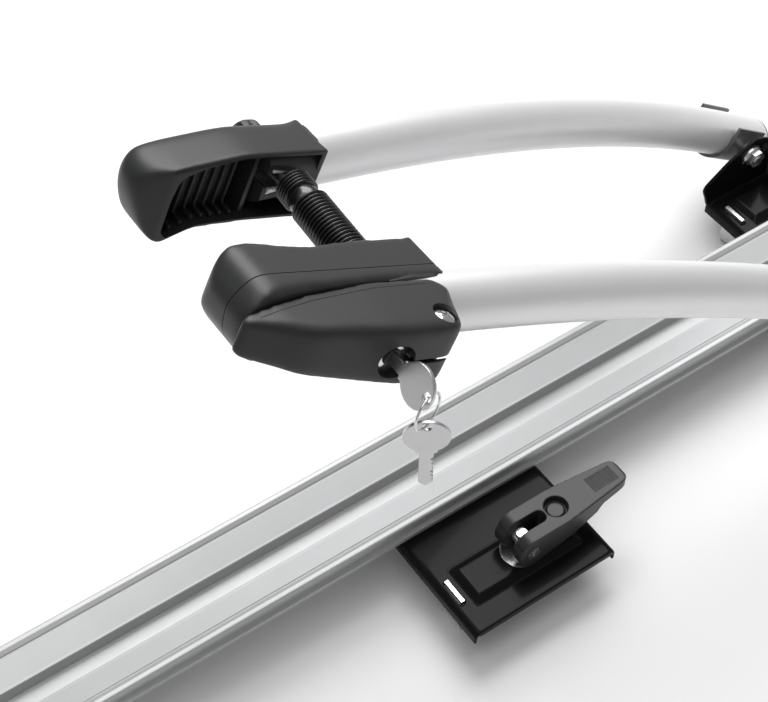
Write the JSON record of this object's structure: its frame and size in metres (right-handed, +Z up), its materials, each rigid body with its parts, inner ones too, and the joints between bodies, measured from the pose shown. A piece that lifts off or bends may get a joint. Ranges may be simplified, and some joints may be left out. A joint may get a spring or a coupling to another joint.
{
  "type": "roof bicycle carrier",
  "caption": "Roof carrier for a bicycle: aluminium tray rail on clamp brackets, with two bent tube arms whose padded jaws close on the frame by a knob and lock with a key.",
  "frame": {"origin": "middle of the footprint, on the level of the clamp straps' undersides", "axes": "+X along the rail towards the arms' pivots, +Y across the car, +Z up"},
  "size_m": [1.407, 0.2956, 0.4012],
  "materials": {
    "satin_aluminium": "satin silver anodised",
    "arm_aluminium": "fine satin silver lacquer",
    "dark_plastic": "fine-grained dark grey moulding",
    "lever_plastic": "fine-grained dark grey moulding",
    "cap_plastic": "plain black moulding",
    "black_steel": "gloss black powder coat",
    "grey_steel": "satin grey paint",
    "bright_steel": "zinc-plated",
    "chrome": "polished",
    "rubber": "matt black",
    "bellows_rubber": "glossy black",
    "key_steel": "nickel-plated"
  },
  "bodies": {
    "chassis": {"rail": "satin_aluminium", "front_end_cap": "cap_plastic", "rear_end_cap": "cap_plastic", "front_bracket": "black_steel", "main_bracket": "black_steel", "front_bracket_screws": "bright_steel", "front_bracket_nuts": "bright_steel", "main_bracket_screws": "bright_steel", "main_bracket_nuts": "bright_steel", "front_bar_pad": "rubber", "main_bar_pads": "rubber", "cam_washers": "bright_steel"},
    "front_near_clamp": {"front_near_strap": "bright_steel", "front_near_stud": "bright_steel", "front_near_cross_pin": "bright_steel"},
    "front_near_handle": {"front_near_lever": "lever_plastic"},
    "main_near_clamp": {"main_near_strap": "bright_steel", "main_near_stud": "bright_steel", "main_near_cross_pin": "bright_steel"},
    "main_near_handle": {"main_near_lever": "lever_plastic"},
    "main_far_clamp": {"main_far_strap": "bright_steel", "main_far_stud": "bright_steel", "main_far_cross_pin": "bright_steel"},
    "main_far_handle": {"main_far_lever": "lever_plastic"},
    "near_arm": {"near_tube": "arm_aluminium", "near_tube_cap": "cap_plastic", "near_saddle": "grey_steel", "near_bush": "bright_steel", "near_pivot_bolt": "bright_steel", "near_pivot_nut": "bright_steel", "near_jaw": "dark_plastic", "near_cover": "dark_plastic", "near_grip": "rubber", "clamp_rod": "bright_steel", "rod_anchor": "bright_steel", "bellows": "bellows_rubber"},
    "far_arm": {"far_tube": "arm_aluminium", "far_tube_cap": "cap_plastic", "far_saddle": "grey_steel", "far_bush": "bright_steel", "far_pivot_bolt": "bright_steel", "far_pivot_nut": "bright_steel", "far_jaw": "dark_plastic", "far_grip": "rubber"},
    "knob_seat": {"knob_washer": "bright_steel"},
    "knob": {"knob": "dark_plastic"},
    "lid": {"lock_lid": "dark_plastic", "lock_cylinder": "chrome", "lid_screw": "chrome"},
    "key": {"lock_rotor": "cap_plastic", "lock_key": "key_steel"},
    "ring": {"key_ring": "chrome"},
    "spare": {"spare_key": "key_steel"}
  },
  "joints": [
    {"name": "front_near_lift", "type": "slide", "parent": "chassis", "child": "front_near_clamp", "axis": [0, 0, -1], "range_m": [0, 0.003]},
    {"name": "front_near_cam", "type": "hinge", "parent": "front_near_clamp", "child": "front_near_handle", "pos_m": [-0.197, -0.091, 0.056], "axis": [0, 1, 0], "range_deg": [-100, 0]},
    {"name": "main_near_lift", "type": "slide", "parent": "chassis", "child": "main_near_clamp", "axis": [0, 0, -1], "range_m": [0, 0.003]},
    {"name": "main_near_cam", "type": "hinge", "parent": "main_near_clamp", "child": "main_near_handle", "pos_m": [0.203, -0.068, 0.056], "axis": [0, 1, 0], "range_deg": [-100, 0]},
    {"name": "main_far_lift", "type": "slide", "parent": "chassis", "child": "main_far_clamp", "axis": [0, 0, -1], "range_m": [0, 0.003]},
    {"name": "main_far_cam", "type": "hinge", "parent": "main_far_clamp", "child": "main_far_handle", "pos_m": [0.203, 0.068, 0.056], "axis": [0, 1, 0], "range_deg": [-100, 0]},
    {"name": "arm_fold", "type": "hinge", "parent": "chassis", "child": "near_arm", "pos_m": [0.18, 0, 0.068], "axis": [0, 1, 0], "range_deg": [-18, 5]},
    {"name": "far_arm_sway", "type": "hinge", "parent": "near_arm", "child": "far_arm", "pos_m": [0.18, 0.0925, 0.068], "axis": [0.4988, 0, 0.8667], "range_deg": [0, 6.5], "deforming": ["bellows"]},
    {"name": "knob_travel", "type": "slide", "parent": "near_arm", "child": "knob_seat", "axis": [0, -1, 0], "range_m": [0, 0.06149]},
    {"name": "knob_turn", "type": "hinge", "parent": "knob_seat", "child": "knob", "pos_m": [-0.2858, 0.09, 0.33588], "axis": [0, 1, 0], "continuous": true},
    {"name": "lid_swing", "type": "hinge", "parent": "near_arm", "child": "lid", "pos_m": [-0.2867, -0.1, 0.33631], "axis": [0.4384, 0, 0.8988], "range_deg": [0, 100]},
    {"name": "key_turn", "type": "hinge", "parent": "lid", "child": "key", "pos_m": [-0.31589, -0.1, 0.34833], "axis": [0, 1, 0], "range_deg": [0, 90]},
    {"name": "ring_swing", "type": "hinge", "parent": "key", "child": "ring", "pos_m": [-0.31589, -0.13725, 0.34733], "axis": [0.9397, 0.342, 0], "range_deg": [-12, 12]},
    {"name": "spare_key_swing", "type": "hinge", "parent": "ring", "child": "spare", "pos_m": [-0.31589, -0.13725, 0.32493], "axis": [0.9397, 0.342, 0], "range_deg": [-15, 15]}
  ],
  "couplings": [
    {"joint": "front_near_lift", "follows": "front_near_cam", "m_per_rad": -0.0017189},
    {"joint": "main_near_lift", "follows": "main_near_cam", "m_per_rad": -0.0017189},
    {"joint": "main_far_lift", "follows": "main_far_cam", "m_per_rad": -0.0017189},
    {"joint": "knob_travel", "follows": "far_arm_sway", "m_per_rad": 0.53765}
  ]
}
